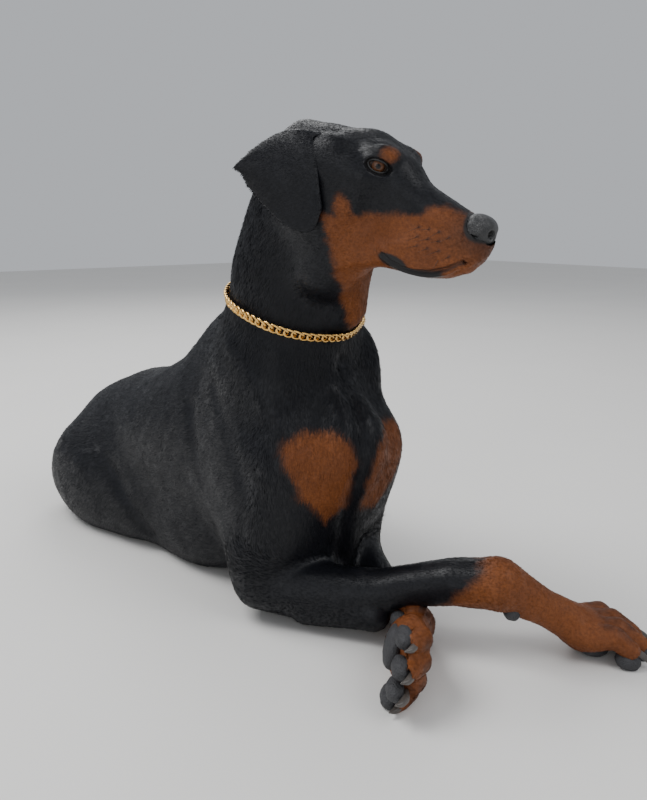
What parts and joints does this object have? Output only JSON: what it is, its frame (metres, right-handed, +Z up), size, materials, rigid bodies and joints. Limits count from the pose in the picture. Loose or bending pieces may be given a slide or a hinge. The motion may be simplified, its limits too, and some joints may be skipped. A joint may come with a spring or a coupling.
{
  "type": "doberman pinscher",
  "caption": "Life-size black and tan Doberman lying on its elbows with crossed forelegs, in a gold curb-chain collar.",
  "frame": {"origin": "on the floor under the middle of the dog's bounding box", "axes": "+X from the rump to the chest, +Y to the dog's left, +Z up"},
  "size_m": [0.8616, 0.498, 0.5414],
  "materials": {
    "black_coat": "short glossy coat",
    "tan_coat": "short coat",
    "eye": "wet",
    "nose": "moist leather",
    "pads": "matt",
    "claws": "horn",
    "gold": "polished"
  },
  "bodies": {
    "root": {"claw_front_left_1": "claws", "claw_front_left_2": "claws", "claw_front_left_3": "claws", "claw_front_left_4": "claws", "claw_front_right_1": "claws", "claw_front_right_2": "claws", "claw_front_right_3": "claws", "claw_front_right_4": "claws", "claw_hind_left_1": "claws", "claw_hind_left_2": "claws", "claw_hind_left_3": "claws", "claw_hind_left_4": "claws", "claw_hind_right_1": "claws", "claw_hind_right_2": "claws", "claw_hind_right_3": "claws", "claw_hind_right_4": "claws", "collar_chain": "gold", "ear_left": "black_coat", "ear_right": "black_coat", "eye_left": "eye", "eye_right": "eye", "foreleg_left_lower": "black_coat", "foreleg_left_upper": "black_coat", "foreleg_right_lower": "black_coat", "foreleg_right_upper": "black_coat", "head": "black_coat", "hindleg_left_lower": "black_coat", "hindleg_left_upper": "black_coat", "hindleg_right_lower": "black_coat", "hindleg_right_upper": "black_coat", "neck": "black_coat", "nose": "nose", "pad_front_left_1": "pads", "pad_front_left_2": "pads", "pad_front_left_3": "pads", "pad_front_left_4": "pads", "pad_front_left_middle": "pads", "pad_front_left_wrist": "pads", "pad_front_right_1": "pads", "pad_front_right_2": "pads", "pad_front_right_3": "pads", "pad_front_right_4": "pads", "pad_front_right_middle": "pads", "pad_front_right_wrist": "pads", "paw_front_left": "tan_coat", "paw_front_right": "tan_coat", "paw_hind_left": "tan_coat", "paw_hind_right": "tan_coat", "tail": "black_coat", "torso": "black_coat"}
  },
  "joints": []
}
